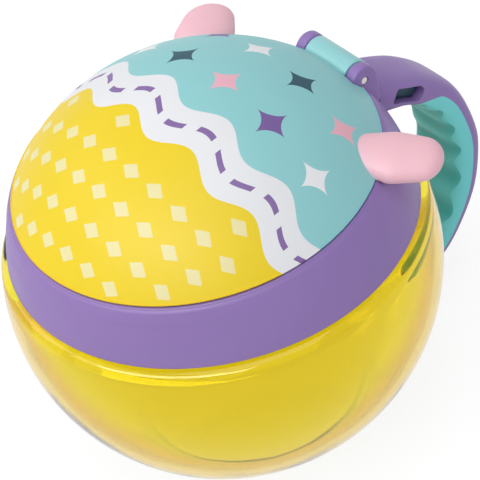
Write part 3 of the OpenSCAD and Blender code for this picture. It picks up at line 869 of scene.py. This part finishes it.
# Lip seal: a thin ring of white silicone with two soft beads, pushed onto the plug. It presses into
# the closure's ring when the lid is shut.
lip_out = plug_r + lip_depth
lip_outline = [(plug_r - 0.02, liner_low - 0.05), (lip_out - 0.5, liner_low - 0.05)]
lip_outline += arc((lip_out - 0.35, liner_low - 0.45), 0.35, 90, -60, 5)
lip_outline += [(plug_r + 0.45, liner_low - 0.9)]
lip_outline += arc((lip_out - 0.4, plug_low + 0.4), 0.35, 60, -90, 5)
lip_outline += [(plug_r - 0.02, plug_low + 0.05)]
lip_outline += [lip_outline[0]]
lip = turned("lid_seal", lip_outline, 144)
lip.data.transform(Matrix.Translation((0, plug_y * MM, 0)))
tilted(lip)
smooth(lip, 40)
put_on(lip, white_silicone)
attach(lip, "lid")
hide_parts("lid_seal")

# Ears: two soft pink lobes held in the dome at its back corners. Each is a skin drawn over three
# rounded lumps, and hugs the dome and the collar's rim.
ear_dir = 47.9
ear_reach = 13.1
ear_w = 15.2
ear_t = 7.0
ear_lumps = [(rim_r - 4.5, 0.1, 1.1, 3.0, ear_w * 0.34, ear_t * 0.62),
             (rim_r + 2.5, 0.3, 0.4, 4.5, ear_w * 0.46, ear_t * 0.52),
             (rim_r + ear_reach - 5, 0, -0.8, 5.0, ear_w * 0.4, ear_t * 0.46)]


def ball(name, radius, middle_z, segments=128):
    bpy.ops.object.select_all(action="DESELECT")
    bpy.ops.mesh.primitive_uv_sphere_add(segments=segments, ring_count=segments // 2,
                                         radius=radius * MM)
    piece = bpy.context.object
    piece.name = name
    piece.data.transform(Matrix.Translation((0, 0, middle_z * MM)))
    return piece


def ear(name, side):
    lumps = []
    for x, forwards, z, rx, ry, rz in ear_lumps:
        bpy.ops.object.select_all(action="DESELECT")
        bpy.ops.mesh.primitive_uv_sphere_add(segments=48, ring_count=24, radius=MM)
        lump = bpy.context.object
        lump.data.transform(Matrix.Translation(Vector((x, -side * forwards, z)) * MM)
                            @ Matrix.Diagonal((rx, ry, rz, 1)))
        lumps.append(lump)
    piece = lumps[0]
    piece.name = name
    joined(piece, lumps[1], lumps[2])
    bpy.ops.object.mode_set(mode="EDIT")
    bpy.ops.mesh.select_all(action="SELECT")
    bpy.ops.mesh.convex_hull()
    bpy.ops.object.mode_set(mode="OBJECT")
    finished(piece, "REMESH", mode="VOXEL", voxel_size=0.35 * MM)
    finished(piece, "SMOOTH", factor=0.5, iterations=30)
    piece.data.transform(Matrix.Translation((0, 0, (ball_z + rim_h) * MM))
                         @ Matrix.Rotation(math.radians(90 - side * ear_dir), 4, "Z"))
    tilted(piece)
    cut(piece, ball("dome_cut", dome_r - 0.05, ball_z, 192))
    band_cut = ball("band_cut", band_r + 0.45, ball_z + band_c, 192)
    bpy.ops.object.mode_set(mode="EDIT")
    bpy.ops.mesh.select_all(action="SELECT")
    bpy.ops.mesh.bisect(plane_co=(0, 0, (ball_z + rim_h) * MM), clear_outer=True, use_fill=True,
                        plane_no=(0, -math.sin(lid_tilt), 1))
    bpy.ops.object.mode_set(mode="OBJECT")
    cut(piece, band_cut)
    smooth(piece, 50)
    put_on(piece, pink)
    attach(piece, "lid")
    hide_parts(name)


pink = moulded("pink_rubber", paint(254, 199, 210), 0.012, 0.55, 1800.0, 0.03 * MM,
               subsurface_weight=0.12, subsurface_scale=0.003)
ear("ear_left", -1)
ear("ear_right", 1)

# Hinge pin: a steel rod pressed through both lugs and the barrel, its ends just below the lugs'
# faces.
pin = rod("hinge_pin", 1.0, -lug_out + 0.2, lug_out - 0.2, hinge_y, pin_z, 48)
finished(pin, "BEVEL", width=0.25 * MM, segments=3, limit_method="ANGLE",
         angle_limit=math.radians(50))
smooth(pin, 40)
steel, _, steel_bsdf = new_material("steel")
steel_bsdf.inputs["Base Color"].default_value = (*paint(205, 203, 200), 1)
steel_bsdf.inputs["Metallic"].default_value = 1.0
steel_bsdf.inputs["Roughness"].default_value = 0.35
put_on(pin, steel)
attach(pin, "collar")
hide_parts("hinge_pin")

# Handle: a C-shaped moulding of the collar's purple plastic that grows out of the collar's back. It
# has rounded sides, a blunt free end and a slot through its root.
handle_half = 8.0
handle_outer = [(-5, 23.8), (3, 20.4), (10.5, 15.7), (17, 8.4), (20.3, -3), (20.2, -11),
                (16.7, -21.4), (8.8, -30.8), (0.8, -35.4), (-5, -36.6)]
handle_inner = [(-5, 15), (2.4, 12.4), (6.8, 8.4), (10.2, 3.4), (11.8, -3), (11.8, -10),
                (9.4, -18), (4.8, -25), (-0.2, -29.6), (-4.6, -31.6)]
handle_end = 9.0
grip_start = 1.3
grip_end = handle_end - 0.12
grip_share = 0.6
wave_height = 0.9
wave_length = 0.95
side_power = 0.55
depth_power = 0.6
end_bluntness = 1.6


def along_curve(points, t):
    """A smooth curve through the points, as outward and upward millimetres in the part's frame."""
    i = min(int(t), len(points) - 2)
    u = t - i
    four = [Vector(points[max(0, min(k, len(points) - 1))]) for k in (i - 1, i, i + 1, i + 2)]
    spot = 0.5 * (2 * four[1] + (four[2] - four[0]) * u
                  + (2 * four[0] - 5 * four[1] + 4 * four[2] - four[3]) * u * u
                  + (3 * four[1] - four[0] - 3 * four[2] + four[3]) * u ** 3)
    return spot + Vector((ball_r, ball_z))


def signed_power(value, power):
    return math.copysign(abs(value) ** power, value)


def handle_section(t, grip, arc_steps, flat_steps):
    """Points round the handle at t: the outer part for the frame, the waved inner for the grip."""
    outer = along_curve(handle_outer, t)
    inner = along_curve(handle_inner, t)
    depth = (outer - inner).length
    out = (outer - inner) / depth
    middle = (outer + inner) / 2
    taper = min(1, math.sqrt(max(0.02, (handle_end - t) * end_bluntness)))
    half_w = handle_half * taper
    half_d = depth / 2 * taper
    share = -1 if t < grip_start or t > grip_end else min(grip_share, 0.1 + (t - grip_start) * 0.45)
    split = min(0.97, max(-0.97, (share - 0.5) * depth / half_d))
    turn = math.asin(signed_power(split, 1 / depth_power))
    first, last = (math.pi - turn, 2 * math.pi + turn) if grip else (turn, math.pi - turn)
    wave_turn = 2 * math.pi * (t - grip_start) / wave_length
    wave = wave_height * (1 - math.cos(wave_turn)) / 2 if grip else 0
    flat_w = half_w * abs(math.cos(turn)) ** side_power
    points = []
    for k in range(arc_steps + 1):
        a = first + (last - first) * k / arc_steps
        u = half_w * signed_power(math.cos(a), side_power)
        v = half_d * signed_power(math.sin(a), depth_power)
        if math.sin(a) < 0:
            v += wave * math.sin(a) ** 2
        points.append((u, v))
    for k in range(1, flat_steps):
        u = (1 if grip else -1) * flat_w * (1 - 2 * k / flat_steps)
        points.append((u, half_d * split))
    return [Vector((u, *(middle + v * out))) * MM for u, v in points]


def lofted(name, rows):
    """A tube through rows of points, its two ends filled."""
    around = len(rows[0])
    bpy.ops.object.select_all(action="DESELECT")
    bpy.ops.mesh.primitive_grid_add(x_subdivisions=around, y_subdivisions=len(rows) - 1, size=MM)
    piece = bpy.context.object
    piece.name = name
    for i, vertex in enumerate(piece.data.vertices):
        row_i, k = divmod(i, around + 1)
        vertex.co = rows[row_i][k % around]
    bpy.ops.object.mode_set(mode="EDIT")
    bpy.ops.mesh.select_all(action="SELECT")
    bpy.ops.mesh.remove_doubles(threshold=0.002 * MM)
    bpy.ops.mesh.select_all(action="DESELECT")
    bpy.ops.mesh.select_non_manifold()
    bpy.ops.mesh.fill()
    bpy.ops.mesh.select_all(action="SELECT")
    bpy.ops.mesh.normals_make_consistent(inside=False)
    bpy.ops.object.mode_set(mode="OBJECT")
    return piece


frame_ts = [grip_start * i / 14 for i in range(14)]
frame_ts += [grip_start + (grip_end - grip_start) * i / 110 for i in range(111)]
frame_ts += [grip_end + (handle_end - grip_end) * i / 4 for i in range(1, 5)]
handle = lofted("handle_frame", [handle_section(t, False, 36, 12) for t in frame_ts])
cut(handle, ball("band_cut", band_r - 0.05, ball_z + band_c, 192))
slot_points = [(ball_r + y, ball_z + z)
               for y, z in ((-2.0, 17.1), (0.1, 19.9), (6.9, 16.4), (6.9, 14.7), (4.9, 13.3))]
slot_half = 12.0
slot_rounding = 0.8
cut(handle, rod("sweep_cut", sweep_r, -lug_in, lug_in, hinge_y, pin_z, 96),
    side_block("slot_cut", slot_points, -slot_half, slot_half, slot_rounding))
smooth(handle, 35)
put_on(handle, purple)
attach(handle, "collar")
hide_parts("handle_frame")

# Handle grip: soft teal rubber moulded onto the handle's inside, with waves for the fingers. The
# grooves between the waves are darkened with painted shade.
grip_ts = [grip_start + (grip_end - grip_start) * i / 150 for i in range(151)]
grip = lofted("handle_grip", [handle_section(t, True, 40, 12) for t in grip_ts])
smooth(grip, 35)
grip_teal = paint(118, 224, 226)
# Painted shade: this darker teal is laid into the grooves between the waves.
groove_shade_teal = paint(72, 184, 184)
teal_rubber = moulded("teal_rubber", grip_teal, 0.02, 0.5, 1800.0, 0.03 * MM)
grip_tree = teal_rubber.node_tree
grip_uv = grip_tree.nodes.new("ShaderNodeUVMap")
grip_uv.uv_map = grip.data.uv_layers[0].name
grip_xy = grip_tree.nodes.new("ShaderNodeSeparateXYZ")
grip_tree.links.new(grip_uv.outputs["UV"], grip_xy.inputs[0])
waves_in_all = (grip_end - grip_start) / wave_length
grip_middle = 0.385
# Painted shade mask: a band down the middle of the grip's inner face, wider and darker in each
# groove.
wave_turn = sum_node(grip_tree, "MULTIPLY", grip_xy.outputs["Y"], 2 * math.pi * waves_in_all)
in_groove = sum_node(grip_tree, "MULTIPLY_ADD", sum_node(grip_tree, "COSINE", wave_turn), -0.5, 0.5)
to_side = sum_node(grip_tree, "SUBTRACT", grip_xy.outputs["X"], grip_middle)
from_middle = sum_node(grip_tree, "ABSOLUTE", to_side)
groove_half = sum_node(grip_tree, "MULTIPLY_ADD", in_groove, 0.10, 0.17)
inward = sum_node(grip_tree, "LESS_THAN", from_middle, groove_half)
groove_shade_depth = sum_node(grip_tree, "MULTIPLY_ADD", in_groove, 0.7, 0.3)
groove_shade_mask = sum_node(grip_tree, "MULTIPLY", inward, groove_shade_depth)
grip_tree.links.new(inked_or_shaded(grip_tree, grip_teal, groove_shade_teal, groove_shade_mask),
                    surface_of(teal_rubber).inputs["Color"])
put_on(grip, teal_rubber)
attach(grip, "collar")
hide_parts("handle_grip")

# Grip anchor: the rubber key that fills the slot in the handle's root and ends just inside its
# two mouths. Its colour is the grip's teal darkened with painted shade, for the shadow deep in the
# slot.
anchor_half = 5.9
anchor = side_block("grip_anchor", slot_points, -anchor_half, anchor_half, slot_rounding)
smooth(anchor, 40)
# Painted shade: the anchor's teal rubber is given the dark colour of the shadow in the slot.
shaded_anchor_rubber = moulded("shaded_anchor_rubber", paint(31, 72, 88), 0.02, 0.5, 1800.0, 0.03 * MM)
put_on(anchor, shaded_anchor_rubber)
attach(anchor, "collar")
